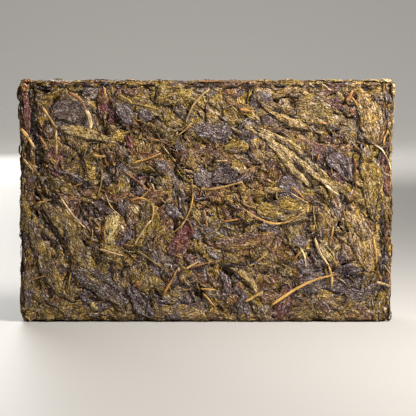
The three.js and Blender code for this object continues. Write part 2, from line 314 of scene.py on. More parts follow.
# The leaves that stand out on the front face: start and end, right of the middle and up from the
# foot, then the bow to the left of that line, the width and the colour
FRONT_LEAVES = [
    ("mauve_leaf_right", (45.2, 66.4), (55.2, 54), 0.6, 8.5, "slate"),
    ("mauve_leaf_upper_middle", (-4.5, 73.4), (9.8, 72), -0.6, 7, "slate"),
    ("square_leaf_upper_middle", (6.4, 66), (16.2, 66.6), 0.4, 6.2, "olive"),
    ("blue_patch_left", (-33.7, 83), (-28, 75), 0.2, 5.5, "slate"),
    ("leaf_lower_left", (-66.4, 38.3), (-53.6, 9.4), -1, 6.5, "olive"),
    ("leaf_left_middle", (-61.9, 46.5), (-44.6, 19.9), 1.2, 6.5, "olive"),
    ("dusky_leaf_lower_left", (-51, 19.5), (-29.6, 6.9), 0.8, 8, "dusk"),
    ("slate_leaf_foot", (-29, 14.5), (-19.8, 1.6), -0.6, 6.5, "slate"),
    ("brown_leaf_middle", (3, 29.3), (26, 33.8), -0.8, 6.5, "brown"),
    ("round_leaf_middle", (19, 43.5), (39, 43), -1, 9, "olive"),
    ("olive_leaf_right_edge", (60, 66.5), (64, 38), 0.6, 8.5, "olive"),
    ("tan_leaf_upper_right", (57.3, 86.5), (63.8, 66), 0.6, 7, "tan"),
    ("tan_leaf_right", (53.5, 42.7), (62.8, 18.9), 0.8, 8, "tan"),
    ("curled_dark_leaf", (-58.2, 79.5), (-43.2, 79.5), 1, 8, "slate"),
    ("round_leaf_top", (-21, 84.6), (-4.8, 86.4), 0.6, 8, "olive"),
    ("leaf_above_the_long_one", (20.2, 84.2), (43.4, 73.6), -1.5, 6, "tan"),
    ("leaf_below_the_long_one", (22.5, 70.6), (39.6, 51), 1, 5.5, "gold"),
    ("brown_strip_left_edge", (-68.6, 90.2), (-66.8, 70.5), 0.2, 3, "maroon"),
    ("brown_strip_left_middle", (-39.5, 68.4), (-33.5, 52.7), 0.6, 3.6, "brown"),
    ("heart_shaped_leaf", (-26.8, 28.4), (-20.7, 47), -1.2, 8, "olive"),
    ("maroon_leaf", (-13.7, 25.2), (-4.6, 36.8), 0.4, 6.5, "maroon"),
    ("blue_black_leaf", (5.2, 19.6), (8.2, 10.6), 1.2, 3.2, "slate"),
    ("folded_bud_leaf", (-36.8, 29.3), (-33.6, 42.2), 0.5, 6.8, "pale"),
    ("yellow_bit_heart", (-28.4, 44.6), (-25.6, 40.9), 0.3, 3, "gold"),
    ("pale_leaf_lower_middle", (6.2, 22.2), (20, 10), 1.8, 3.6, "gold"),
    ("pale_leaf_lower_right", (43.5, 31.5), (48.8, 23.5), -0.8, 4.2, "pale"),
    ("yellow_bit_foot", (-44, 7.6), (-41.6, 4.2), 0.2, 2.4, "pale"),
    ("orange_bit_lower_left", (-28.2, 13.4), (-24.2, 15.2), 0.2, 2.2, "rust"),
    ("orange_bit_lower_middle", (24.2, 17), (26.2, 14.8), 0.1, 1.6, "rust"),
    ("orange_bit_upper_right", (53.8, 80.8), (56, 78.2), 0.2, 2.2, "rust"),
    ("orange_tip_top_left", (-69.2, 90.8), (-67.4, 86.6), 0.3, 2.6, "rust"),
    ("pale_leaf_upper_left", (-55.6, 73.4), (-34.1, 68.1), 0.8, 4.2, "gold"),
    ("long_pale_leaf", (14, 74.9), (50.3, 48.4), 3, 5.4, "gold"),
]

# The stalks and slivers that stand out there, in the same form
FRONT_STALKS = [
    ((-51.6, 87.2), (-44.6, 80), 1, 1.2, "russet"),
    ((-45, 80.6), (-43.4, 73), 0.7, 1.6, "cream"),
    ((-61.4, 82.1), (-55.4, 73.4), -0.5, 1, "gold"),
    ((-27.9, 60.1), (-16.7, 64.2), 0, 0.85, "gold"),
    ((1.5, 88.1), (-7.6, 75.3), -1.6, 0.9, "pale"),
    ((-5.1, 75.5), (-10.4, 70.5), 0, 0.7, "gold"),
    ((-22.8, 69.7), (-11.4, 66.1), 0.8, 0.6, "russet"),
    ((-16.7, 67.1), (-11.4, 60.8), 0, 0.8, "pale"),
    ((-69.6, 73.9), (-64.3, 66.6), 0, 1.4, "gold"),
    ((-62.8, 71), (-59.7, 65.7), 0, 1, "russet"),
    ((-56.3, 72.9), (-56.3, 63.2), 0, 0.9, "pale"),
    ((-68.9, 62.2), (-65, 57.5), 0, 1, "pale"),
    ((-66.6, 61.3), (-63.8, 57.2), 0, 0.8, "russet"),
    ((-38.4, 89.3), (-37.5, 85.4), 0, 1, "orange"),
    ((12.4, 80.8), (18.5, 79.9), 0, 0.9, "orange"),
    ((41.9, 75.5), (45.5, 75.5), 0, 0.8, "orange"),
    ((68.5, 72.9), (66.3, 67.4), 0, 0.8, "gold"),
    ((62.4, 68.3), (69.6, 57), 2, 0.7, "cream"),
    ((56.1, 62.4), (56.4, 50.7), 0, 0.9, "russet"),
    ((3.3, 61.3), (8.1, 61.5), 0, 0.7, "pale"),
    ((-2.3, 50.7), (13.2, 53.4), -0.8, 0.8, "gold"),
    ((32.5, 51.7), (37.8, 46.3), 0, 0.7, "orange"),
    ((45, 52.2), (50.3, 48.1), 0, 1, "cream"),
    ((-64, 44.7), (-58.3, 46.5), 0.5, 0.7, "gold"),
    ((-37.7, 29.4), (-37, 40.5), 0.9, 0.7, "orange"),
    ((-28.4, 46), (-20.6, 45.2), 1.7, 0.8, "gold"),
    ((-20.6, 45.4), (-20.8, 38.6), 0.9, 0.8, "gold"),
    ((-20.7, 39), (-26.8, 29.2), -0.6, 0.85, "pale"),
    ((-32.2, 51.7), (-38, 49.2), -0.6, 0.5, "russet"),
    ((-38, 49.2), (-32.2, 40.4), -0.8, 0.55, "pale"),
    ((-32.5, 37), (-30.9, 35.6), 0, 1.3, "cream"),
    ((-6.4, 38.8), (-4.9, 34.6), 0, 0.8, "orange"),
    ((-31.7, 29.6), (-27.1, 29.1), 0, 0.7, "orange"),
    ((-40.9, 28), (-31.2, 25.5), 0, 0.9, "pale"),
    ((-4.7, 49.2), (-12.9, 33.8), 2.2, 0.7, "gold"),
    ((-0.8, 42.9), (0.6, 35.2), 0, 0.8, "orange"),
    ((-16.7, 9.1), (-11, 20.2), 0, 1, "orange"),
    ((-8.1, 20.2), (-2.7, 23.1), 0, 0.8, "pale"),
    ((-6.6, 20.7), (1.5, 22.9), 0, 0.8, "russet"),
    ((-54.9, 48.2), (-45.2, 35.7), -0.8, 0.9, "pale"),
    ((15.1, 42.9), (37.5, 42.4), -5, 0.9, "gold"),
    ((5.9, 38.1), (12.2, 39.4), 0, 0.8, "orange"),
    ((41.2, 32.3), (46.5, 21.7), -0.7, 1.1, "cream"),
    ((46.5, 21.7), (47.7, 13), 0.5, 1, "gold"),
    ((24.7, 6), (49.4, 18.3), 1.9, 1.1, "gold"),
    ((16.1, 21.2), (23.3, 27.2), -0.7, 0.8, "gold"),
    ((5.4, 22.2), (16.1, 21.2), -0.3, 0.9, "dark"),
    ((14.4, 7.7), (21.9, 11.8), 0, 1, "gold"),
    ((35.6, 28.5), (38, 20.7), 0.6, 0.7, "cream"),
    ((32.5, 22.7), (38.6, 30.3), 0, 0.7, "orange"),
    ((47.9, 36.6), (46.5, 29.9), 0.4, 0.8, "orange"),
    ((-2.3, 12.5), (4, 12.5), 0, 0.8, "gold"),
    ((-1.3, 11), (3.5, 6.2), 0, 0.9, "gold"),
    ((31.5, 49.2), (38.7, 45.4), 0, 0.7, "pale"),
    ((63.4, 32.8), (64.8, 22.2), 0, 0.7, "gold"),
    ((64.3, 15.4), (69.6, 14), 0, 1, "pale"),
    ((-43.3, 63.7), (-37.5, 62.8), 0, 1.2, "gold"),
    ((-32.7, 86.4), (-27.6, 83.2), 0, 1.1, "olive"),
    ((38.2, 90.7), (41.2, 88.3), 0, 0.6, "cream"),
    ((43.1, 90.3), (46.9, 87.8), 0, 0.6, "cream"),
    ((52.7, 83.5), (55.2, 87.8), 0, 1.6, "russet"),
]

# The cracks between the leaves there, darkened with painted shade: start, end, bow and width
FRONT_CRACKS = [
    ((-66, 87), (-64.8, 74.9), 0.3, 1.8),
    ((-65.2, 88.6), (-63.9, 70), 0.2, 1.6),
    ((-64, 72), (-61.8, 57), 0.2, 1.6),
    ((-65, 75.5), (-63.2, 59.6), 0.3, 2),
    ((-63.4, 60.8), (-55.8, 46.6), -0.6, 1.5),
    ((-61, 89.2), (-20, 89.4), 0.2, 0.9),
    ((-8, 89.2), (44, 89.3), 0.2, 1),
    ((-38.9, 66.2), (-36.4, 62.4), 0.2, 0.8),
    ((-36.7, 63.2), (-35.4, 53.4), 0.4, 0.8),
    ((-46.9, 64.4), (-45.5, 50.2), 0.5, 0.5),
    ((-44.4, 68.4), (-40.2, 68.1), 0.1, 1.1),
    ((-16.9, 66.8), (-10.8, 60), 0.2, 0.7),
    ((-25.6, 56.4), (-16.6, 55.6), 0.4, 1.3),
    ((24.4, 80.8), (42.8, 73), 0.9, 0.9),
    ((31, 85), (34.4, 78.6), 0.4, 0.5),
    ((17.6, 74.4), (21, 70.8), 0.3, 0.7),
    ((26, 69.4), (44, 55), 1.2, 1),
    ((33, 60), (40.6, 50.8), 0.6, 1.1),
    ((57, 79), (57, 67), 0.3, 0.6),
    ((55.4, 64.4), (55, 50.6), 0.3, 0.9),
    ((67.6, 86), (67.8, 60), 0.3, 1.1),
    ((66.8, 40), (67.6, 12), -0.3, 1.1),
    ((58.4, 90), (66.8, 79.6), 0.8, 0.9),
    ((3, 62.4), (11, 53.4), 0.6, 0.6),
    ((-62, 42), (-54.6, 30.4), -0.5, 1.6),
    ((-62, 33.4), (-57, 27.4), 0.3, 1.4),
    ((-44, 18.4), (-29, 8.4), 0.9, 0.5),
    ((-27.8, 13.4), (-21, 2.6), -0.9, 0.7),
    ((6.8, 21.8), (19.8, 22.8), -0.6, 1.1),
    ((8.4, 38), (24, 38.4), -0.8, 1),
    ((6, 22.8), (4.4, 14.6), 0.4, 0.7),
    ((7, 20.8), (18.4, 8.8), 1.6, 0.7),
    ((40, 30.6), (46.6, 19.4), -0.6, 0.8),
    ((60, 26), (58.6, 12.4), 0.3, 0.6),
]

# Leaves that stand off the brick near its corners: face, start and end from the middle of that
# face, width, colour and how far they stand off
CORNER_LEAVES = [
    ("left", (38, -9.4), (45.2, -10.4), 2.2, "rust", 0.8),
    ("left", (31, -9.8), (37.5, -9.2), 1.8, "brown", 0.6),
    ("top", (-70.3, -9.4), (-64.5, -10), 2, "rust", 0.7),
    ("right", (39, 9.4), (45.4, 10.2), 2.4, "gold", 0.9),
    ("right", (33.5, 9.6), (39, 8.8), 2, "tan", 0.7),
    ("right", (27.5, 9.8), (33, 9.2), 1.6, "gold", 0.5),
    ("top", (58.5, -9.5), (65, -10.2), 2, "gold", 0.6),
    ("top", (65, -9), (70.4, -9.8), 2.2, "gold", 0.8),
]
LOOSE_LEAVES = 34
LOOSE_LENGTH = (3, 8)
LOOSE_WIDTH = (0.9, 2.0)
LOOSE_LIFT = (0.2, 0.6)
LOOSE_MARGIN = 2.0
LOOSE_BOW = 0.3
LOOSE_BLUNT = 0.3

# Noise on leaves and stalks: its scale along, across and from one to the next, per millimetre
RIBS = (0.25, 2.4, 1.0)
FOLDS = (0.36, 0.8, 1.0)
CRUMPLES = (1.1, 1.7, 1.0)
GRAIN = (2.2, 3.2, 1.0)
CREASES = (0.3, 0.6, 2.0)
WRINKLES = (0.7, 1.25, 3.0)
BLOTCHES = (0.16, 0.25, 1.0)
STAINS = (0.24, 0.36, 4.0)
STALK_RIBS = (0.35, 3.5, 1.0)
SCARS = (0.8, 0.8, 1.0)
CORE_CRUMBS = (0.8, 0.8, 0.8)

# The skin of a leaf: how much of each relief, its depth in millimetres, and the colours on it. The glint
# colour is a painted highlight on its high spots, and the pit colour painted shade in its low ones
CRUMPLE_SHARE = 0.6
WRINKLE_SHARE = 0.45
VALLEY_SHARE = 0.16
LEAF_BUMP = 2.5
LEAF_SPECULAR = 0.28
GLOSS_SPREAD = (0.2, -0.1)
MAUVE_STAIN = (84, 63, 68)
YELLOW_STAIN = (154, 121, 34)
PAINTED_GLINT = (212, 204, 204)
PIT_SHADE = (58, 28, 4)
CORE_ROUGHNESS = 0.9

# Camera and light
FRAME_WIDTH = 157.0
CAMERA_DISTANCE = 600.0
CAMERA_ELEVATION = 5.2
CAMERA_AIM = (0.8, 0.0, 42.5)
SENSOR = 36.0
FLOOR_RADIUS = 1.5
BOWL_RADIUS = 1.2
FLOOR_TURNS = 96
FLOOR_BENDS = 13
FLOOR_COLOUR = (0.36, 0.345, 0.325, 1)
FLOOR_ROUGHNESS = 0.6
WORLD_COLOUR = (0.8, 0.82, 0.85, 1)
WORLD_STRENGTH = 0.12

# Round lamps: place, width, power, colour and what they are turned to
MIDDLE = (0.0, 0.0, 0.045)
LAMPS = [
    ("key", (0.23, -0.13, 0.285), 0.16, 3.65, (1.0, 0.97, 0.93), MIDDLE),
    ("fill", (0.5, -1.0, 0.3), 0.8, 0.8, (0.97, 0.98, 1.0), MIDDLE),
    ("rim", (-0.35, 0.95, 0.4), 0.6, 8.0, (1.0, 0.98, 0.95), MIDDLE),
    ("backdrop", (0.0, 0.9, 0.9), 1.0, 24.0, (1.0, 0.99, 0.97), (0.0, 2.6, 0.4)),
]

draw = np.random.default_rng(250)


def to_linear(colour):
    """sRGB from 0 to 255 to the linear values that Blender's colours are in."""
    share = np.asarray(colour, float) / 255
    return np.where(share <= 0.04045, share / 12.92, ((share + 0.055) / 1.055) ** 2.4)


def between(limits):
    return draw.uniform(*limits)


def wander(count, knots, reach):
    """A smooth random line of values from -reach to reach."""
    return np.interp(np.linspace(0, 1, count), np.linspace(0, 1, knots), draw.uniform(-reach, reach, knots))


def pressed(height):
    """What the mould leaves of a height: the nearer to its wall, the more of it is squeezed away."""
    over = np.maximum(height - PRESS_FROM, 0)
    return np.minimum(height, PRESS_FROM) + PRESS_ROOM * (1 - np.exp(-over / PRESS_ROOM))


def rested(height):
    """The same for the table that the brick stands on: nothing reaches below it."""
    return np.where(height < TABLE_ROOM, TABLE_ROOM * np.exp(np.minimum(height / TABLE_ROOM, 1) - 1), height)


def blurred(values, cells):
    """Values on a grid, smoothed over that many cells."""
    reach = np.arange(-2 * cells, 2 * cells + 1)
    weights = np.exp(-((reach / cells) ** 2))
    weights /= weights.sum()
    for axis in (0, 1):
        values = np.apply_along_axis(np.convolve, axis, values, weights, "same")
    return values


class Face:
    """One side of the mould, and how high the leaves are piled over it."""

    def __init__(self, name, right, up, size, lie):
        self.name = name
        self.right = np.array(right, float)
        self.up = np.array(up, float)
        self.outward = np.cross(self.right, self.up)
        self.size = np.array(size, float)
        self.area_cm2 = self.size.prod() / MM2_PER_CM2
        self.reach = abs(self.outward @ (HIGH - LOW)) / 2
        self.lie = lie
        cells = np.ceil((self.size + 2 * PAST_EDGE) / PITCH).astype(int)
        self.depth = abs(self.outward @ CORE_DEPTHS)
        self.pile = np.full(tuple(cells), -self.depth) + draw.uniform(*CORE_UNEVEN, tuple(cells))
        wall = blurred(draw.normal(0, 1, tuple(cells)), WALL_CELL / PITCH / 2)
        self.wall = WALL_WAVE * wall / np.abs(wall).max()
        if name == "foot":
            self.wall -= PRESS_FROM + PRESS_ROOM + WALL_WAVE
        self.fineness = FRONT_FINENESS if name == "front" else 1.0
        self.crack = np.zeros(tuple(cells))
        self.patches = []

    def cell(self, places):
        index = np.rint((places + self.size / 2 + PAST_EDGE) / PITCH).astype(int)
        return np.clip(index, 1, np.array(self.pile.shape) - 2)

    def top(self, places):
        """The pile's height at each place, taking the highest of the cells round it."""
        i, j = np.moveaxis(self.cell(places), -1, 0)
        near = [self.pile[i + a, j + b] for a, b in ((0, 0), (1, 0), (-1, 0), (0, 1), (0, -1))]
        return np.maximum.reduce(near)

    def raise_to(self, places, heights):
        i, j = np.moveaxis(self.cell(places), -1, 0)
        np.maximum.at(self.pile, (i.ravel(), j.ravel()), heights.ravel())

    def low_place(self, tries):
        """Of some places drawn at random, the one with the lowest pile."""
        places = draw.uniform(-0.5, 0.5, (tries, 2)) * (self.size - RIM_ROOM)
        around = np.array([(0, 0), (2, 0), (-2, 0), (0, 2), (0, -2)])
        i, j = np.moveaxis(self.cell(places[:, None, :] + around), -1, 0)
        return places[np.argmin(self.pile[i, j].mean(axis=1))]

    def open_crack(self, line, width):
        """Sinks the surface along a line of places."""
        span = np.arange(-CRACK_CELLS, CRACK_CELLS + 1)
        around = np.stack(np.meshgrid(span, span, indexing="ij"), -1).reshape(-1, 2)
        fall = np.exp(-((np.linalg.norm(around, axis=1) * PITCH / CRACK_REACH) ** 2)) * min(width, FULL_CRACK)
        for point in self.cell(line):
            i, j = np.clip(point + around, 0, np.array(self.crack.shape) - 1).T
            np.maximum.at(self.crack, (i, j), fall)

    def add_patch(self, place, reach, name):
        self.patches.append((*place, reach, *to_linear(PATCH_COLOURS[name])))

    def coloured(self, places, own, weight):
        """A piece's own colour, mixed with the patches that it lies in."""
        patches = np.array(self.patches)
        away = np.linalg.norm(places[..., None, :] - patches[:, :2], axis=-1) / patches[:, 2]
        share = np.exp(-(away**2))
        mixed = weight * own + share @ patches[:, 3:]
        return mixed / (weight + share.sum(axis=-1, keepdims=True))

    def to_space(self, places, heights, lift=0.0, sunk=1.0):
        """From places on the face and heights over it to metres, wrapped round the mould's edges.

        A lift stays after the pressing, and sunk is the share of a crack's depth that the piece follows.
        """
        inner = self.size / 2 - EDGE_ROUNDING
        kept = np.clip(places, -inner, inner)
        past = places - kept
        arc = np.linalg.norm(past, axis=-1)
        turn = np.minimum(arc / EDGE_ROUNDING, math.pi / 2)
        over = np.maximum(arc - EDGE_ROUNDING * math.pi / 2, 0)
        way = past / np.maximum(arc, 1e-9)[..., None]
        sideways = way[..., :1] * self.right + way[..., 1:] * self.up
        normal = np.cos(turn)[..., None] * self.outward + np.sin(turn)[..., None] * sideways
        base = kept[..., :1] * self.right + kept[..., 1:] * self.up
        depth = self.reach - EDGE_ROUNDING - over
        i, j = np.moveaxis(self.cell(places), -1, 0)
        level = pressed(heights) + self.wall[i, j] - sunk * CRACK_DEPTH * self.crack[i, j]
        radius = EDGE_ROUNDING + level + lift
        points = CENTRE + base + depth[..., None] * self.outward + radius[..., None] * normal
        points[..., 2] = rested(points[..., 2])
        return points * MM


class Heap:
    """Closed pieces of one kind that become one mesh, with a tint and a leaf's own coordinates."""

    def __init__(self):
        self.pieces = []

    def add(self, points, quads, tints, places, flat=0, laid=None):
        """Adds a piece whose last faces, that many of them, are flat and meet the others at an edge."""
        round_side = np.arange(len(quads)) < len(quads) - flat
        self.pieces.append((points, quads, tints, places, round_side, laid))

    def seen(self):
        """The pieces that the others don't hide."""
        for *piece, laid in self.pieces:
            if laid is None:
                yield piece
                continue
            face, at, heights = laid
            if np.any(heights > face.top(at) - HIDDEN_BY):
                yield piece

    def to_object(self, name, material):
        kept = list(self.seen())
        points, tints, places = (np.concatenate([piece[k] for piece in kept]) for k in (0, 2, 3))
        starts = np.cumsum([0] + [len(piece[0]) for piece in kept])
        quads = np.concatenate([piece[1] + start for piece, start in zip(kept, starts)])
        mesh = bpy.data.meshes.new(name)
        mesh.vertices.add(len(points))
        mesh.vertices.foreach_set("co", points.astype(np.float32).ravel())
        mesh.loops.add(quads.size)
        mesh.loops.foreach_set("vertex_index", quads.astype(np.int32).ravel())
        mesh.polygons.add(len(quads))
        mesh.polygons.foreach_set("loop_start", np.arange(0, quads.size, 4, dtype=np.int32))
        round_side = np.concatenate([piece[4] for piece in kept])
        mesh.polygons.foreach_set("use_smooth", round_side)
        tint = mesh.attributes.new("tint", "FLOAT_COLOR", "POINT")
        rgba = np.ones((len(points), 4), np.float32)
        rgba[:, :3] = tints
        tint.data.foreach_set("color", rgba.ravel())
        place = mesh.attributes.new("leaf_place", "FLOAT_VECTOR", "POINT")
        place.data.foreach_set("vector", places.astype(np.float32).ravel())
        mesh.update(calc_edges=True)
        mesh.materials.append(material)
        piece = bpy.data.objects.new(name, mesh)
        bpy.context.scene.collection.objects.link(piece)
        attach(piece, "root")
        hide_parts(NODE)
        return piece


def shell_quads(rows, columns):
    """The faces of a closed thin sheet: a top and a bottom grid of points, joined along their rim."""
    top = np.arange(rows * columns).reshape(rows, columns)
    bottom = top + rows * columns
    grid = np.stack([top[:-1, :-1], top[1:, :-1], top[1:, 1:], top[:-1, 1:]], -1).reshape(-1, 4)
    under = np.stack([bottom[:-1, :-1], bottom[:-1, 1:], bottom[1:, 1:], bottom[1:, :-1]], -1).reshape(-1, 4)
    rim = np.concatenate([top[:-1, 0], top[-1, :-1], top[:0:-1, -1], top[0, :0:-1]])
    after = np.roll(rim, -1)
    low = rows * columns
    side = np.stack([rim + low, after + low, after, rim], -1)
    return np.concatenate([grid, under, side])


def tube_quads(rows):
    """The faces of a closed tube: rings of six points, and two faces over each end."""
    ring = np.arange(rows * STALK_SIDES).reshape(rows, STALK_SIDES)
    turned = np.roll(ring, -1, axis=1)
    around = np.stack([ring[:-1], ring[1:], turned[1:], turned[:-1]], -1).reshape(-1, 4)
    halves = np.array([[0, 1, 2, 3], [0, 3, 4, 5]])
    return np.concatenate([around, ring[0][halves], ring[-1][halves[:, ::-1]]])


def arch(start, end, bow, along):
    """Points of an arch from start to end, and the direction to its left at each."""
    start, end = np.array(start, float), np.array(end, float)
    run = end - start
    length = np.linalg.norm(run)
    left = np.array([-run[1], run[0]]) / length
    line = start + along[:, None] * run + (4 * bow * along * (1 - along))[:, None] * left
    slope = (4 * bow * (1 - 2 * along) / length)[:, None]
    normal = left - slope * run / length
    return line, normal / np.linalg.norm(normal, axis=1, keepdims=True), length


def drape(face, places, passes):
    """Heights of a sheet laid on the pile: it keeps to the high spots and bridges the hollows."""
    height = face.top(places)
    for _ in range(passes):
        padded = np.pad(height, 1, mode="edge")
        around = (padded[:-2, 1:-1] + padded[2:, 1:-1] + padded[1:-1, :-2] + padded[1:-1, 2:]) / 4
        height = np.maximum(height, around)
    return height


def lay_leaf(
    heap, face, ends, bow, width, colour, cells,
    blunt=0.2, stiff=3, weight=OWN_COLOUR, lift=0.0, sunk=1.0, rough=1.0,
):
    """Lays one crumpled leaf on a face and adds it to the heap.

    blunt is the width left at its ends, stiff how far it bridges hollows, weight how strongly its own
    colour counts, and rough the share of the crumpling that it has. For lift and sunk see Face.to_space.
    """
    span = math.dist(*ends)
    rows = int(np.clip(round(span / cells[0] / face.fineness), *ROWS)) + 1
    columns = int(np.clip(round(width / cells[1] / face.fineness), *COLUMNS)) + 1
    along = np.linspace(0, 1, rows)
    across = np.linspace(-1, 1, columns)
    line, left, length = arch(*ends, bow, along)
    line = line + left * wander(rows, 5, min(STRAY * width, MOST_STRAY))[:, None]
    full = (1 - np.abs(2 * along - 1) ** between(TAPER)) ** FULLNESS
    sides = np.stack([np.maximum(full * (1 + wander(rows, 8, RAGGED)), blunt) for _ in range(2)], -1)
    reach = width / 2 * np.where(across < 0, sides[:, :1], sides[:, 1:]) * across
    places = line[:, None, :] + left[:, None, :] * reach[..., None]

    pleats = np.array([wander(rows, 5, 0.5) + 0.5 for _ in range(columns)]).T
    pleats *= (np.arange(columns) + draw.integers(2)) % 2
    tips = np.abs(2 * along - 1)[:, None] ** 6
    relief = PLEAT * pleats + CROWN * (1 - across**2) + TILT * draw.uniform(-1, 1) * across
    relief = rough * (relief + draw.uniform(-CRUMPLE, CRUMPLE, (rows, columns)))
    bottom = drape(face, places, stiff) + CLEARANCE + relief * (1 - tips) - TIP_SINK * tips
    top = bottom + LEAF_THICKNESS * (1 - RIM_THINNING * np.abs(across) ** 4)

    rows_weight = hat_weights(rows, max(int(length / PITCH * PILE_CELLS), rows))
    columns_weight = hat_weights(columns, max(int(width / PITCH * PILE_CELLS), columns))
    fine = [rows_weight @ layer @ columns_weight.T for layer in (places[..., 0], places[..., 1], top)]
    face.raise_to(np.stack(fine[:2], -1), fine[2])

    raised = lift * (1 - RIM_LIFT * across**2) * (1 - tips)
    raised = raised + KEPT_RELIEF * (relief - relief.mean()) * (1 - tips)
    skins = [face.to_space(places, layer, raised, sunk) for layer in (top, bottom)]
    # Painted light and shade: the higher a fold of the leaf, the lighter its colour
    tone = LEAF_TONE + PLEAT_LIGHT_AND_SHADE * (pleats - 0.5)
    tone = tone + wander(rows, 6, TONE_ALONG)[:, None] + wander(columns, columns, TONE_ACROSS)
    # Painted shade: the leaf's rim and tips, where it meets or dips under the next leaf, are darkened
    tone -= RIM_PAINTED_SHADE * np.maximum(np.abs(across) ** 3, tips)
    # Painted shade: the leaf is darkened where it lies over a crack
    i, j = np.moveaxis(face.cell(places), -1, 0)
    tone = np.clip(tone, *TONE_LIMITS) * (1 - CRACK_PAINTED_SHADE * face.crack[i, j])
    tints = (tone[..., None] * face.coloured(places, colour, weight)).reshape(-1, 3)
    own = own_places(along * length, reach)
    points = np.reshape(skins, (-1, 3))
    tints, own = (np.tile(values, (2, 1)) for values in (tints, own))
    rim = 2 * (rows + columns - 2)
    heap.add(points, shell_quads(rows, columns), tints, own, rim, (face, places, top))


def own_places(along, across):
    """A piece's own coordinates: how far along and across it a point lies, and the piece's own number."""
    along = np.broadcast_to(along[:, None], across.shape)
    return np.stack([along, across, np.full(across.shape, draw.uniform(0, 500))], -1).reshape(-1, 3)


def hat_weights(count, fine):
    """The weights that read a row of count values at fine even steps, in straight lines between them."""
    at = np.linspace(0, count - 1, fine)
    return np.maximum(0, 1 - np.abs(at[:, None] - np.arange(count)))


def lay_stalk(heap, face, ends, bow, width, colour, lift=STALK_LIFT):
    """Lays one stalk, a thin twig that tapers a little, half sunk between the leaves."""
    rows = max(int(math.dist(*ends) / STALK_STEP), 4) + 1
    along = np.linspace(0, 1, rows)
    line, left, length = arch(*ends, bow, along)
    line = line + left * wander(rows, 5, STALK_STRAY)[:, None]
    radius = width / 2 * (1 - STALK_TAPER * along + wander(rows, 6, STALK_UNEVEN))
    radius *= 1 - STALK_END_TAPER * np.abs(2 * along - 1) ** 9
    middle = drape(face, line[:, None, :], 5)[:, 0] + STALK_HEIGHT * width + wander(rows, 7, STALK_WAVE)
    middle -= STALK_END_SINK * np.abs(2 * along - 1) ** 6
    turn = np.linspace(0, 2 * math.pi, STALK_SIDES, endpoint=False)
    places = line[:, None, :] - left[:, None, :] * (radius[:, None] * np.cos(turn))[..., None]
    heights = middle[:, None] + radius[:, None] * np.sin(turn)
    face.raise_to(places, heights)
    tone = np.clip(STALK_TONE + wander(rows, 7, STALK_TONE_WAVE), *STALK_TONE_LIMITS)
    tints = (tone[:, None, None] * np.ones((STALK_SIDES, 1)) * colour).reshape(-1, 3)
    own = own_places(along * length, np.broadcast_to(turn * width / 2, (rows, STALK_SIDES)))
    points = face.to_space(places, heights, lift * width).reshape(-1, 3)
    heap.add(points, tube_quads(rows), tints, own, 0, (face, places, heights))


def pick(shares):
    names = list(shares)
    odds = np.array([shares[name] for name in names])
    return names[draw.choice(len(names), p=odds / odds.sum())]


def leaf_colour(kind):
    palette = LEAF_COLOURS[kind]
    return to_linear(palette[draw.integers(len(palette))]) * between(LEAF_SHADES)


def broad_lie(swirl, slant):
    """How leaves lie on a broad face: along its border near an edge, round a swirl, or aslant."""

    def lie(place, size):
        x, y = place
        if size[0] / 2 - abs(x) < END_BORDER:
            return 90 + draw.normal(0, BORDER_SPREAD)
        if size[1] / 2 - abs(y) < LONG_BORDER:
            return draw.normal(0, BORDER_SPREAD)
        away = place - np.array(swirl)
        if np.hypot(*away) < SWIRL_RADIUS:
            return math.degrees(math.atan2(away[1], away[0])) + 90 + draw.normal(0, SWIRL_SPREAD)
        turn, length = SLOW_WAVE
        flow = slant + turn * math.sin(x / length)
        turn, length, height = CROSSED_WAVE
        flow += turn * math.sin(x / length + 1) * math.cos(y / height)
        return flow + draw.normal(0, FLOW_SPREAD)

    return lie


def edge_lie(place, size):
    """How leaves lie on a narrow side: along it."""
    return draw.normal(0, EDGE_SPREAD)


FACES = [
    Face("front", (1, 0, 0), (0, 0, 1), (LENGTH, HEIGHT), broad_lie(FRONT_SWIRL, FRONT_SLANT)),
    Face("back", (-1, 0, 0), (0, 0, 1), (LENGTH, HEIGHT), broad_lie(BACK_SWIRL, BACK_SLANT)),
    Face("top", (1, 0, 0), (0, 1, 0), (LENGTH, DEPTH), edge_lie),
    Face("foot", (1, 0, 0), (0, -1, 0), (LENGTH, DEPTH), edge_lie),
    Face("left", (0, 0, 1), (0, 1, 0), (HEIGHT, DEPTH), edge_lie),
    Face("right", (0, 0, 1), (0, -1, 0), (HEIGHT, DEPTH), edge_lie),
]
FRONT = FACES[0]


def ends_of(face, place, angle, length):
    """The two ends of a piece centred on a place, kept from reaching far past the face's edges."""
    way = np.array([math.cos(math.radians(angle)), math.sin(math.radians(angle))])
    reach = np.abs(way) * length / 2
    limit = np.maximum(face.size / 2 + RIM_ROOM - reach, 0)
    middle = np.clip(place, -limit, limit)
    return middle - way * length / 2, middle + way * length / 2


def on_front(point):
    """A point right of the middle and up from the foot, as a place on the front face."""
    return np.array([point[0], point[1] - HEIGHT / 2])


def fill_face(face, heaps, layers):
    """The leaves of no name, the lowest layer first."""
    narrow = min(face.size[1] / NARROW_BELOW, 1)
    for size, density, lengths, widths, bow, blunt, cells in layers:
        for _ in range(round(density * face.area_cm2)):
            place = face.low_place(TRIES)
            kind = pick(EDGE_SHARES if face.lie is edge_lie else LEAF_SHARES)
            ends = ends_of(face, place, face.lie(place, face.size), between(lengths))
            # Painted shade: the lowest layer, seen only in the gaps between the leaves over it, is darkened
            colour = leaf_colour(kind) * (BED_PAINTED_SHADE if size == "bed" else 1.0)
            bend = draw.uniform(-bow, bow) * narrow
            rough = BROAD_RELIEF if size == "broad" else 1.0
            lay_leaf(heaps[kind], face, ends, bend, between(widths), colour, cells, blunt, rough=rough)


def layers_of(face):
    """The layers of a face, with its broad smooth leaves over the crumpled ones."""
    return [*LEAF_SIZES[:3], ("broad", BROAD_PER_CM2.get(face.name, 0), *BROAD), *LEAF_SIZES[3:]]


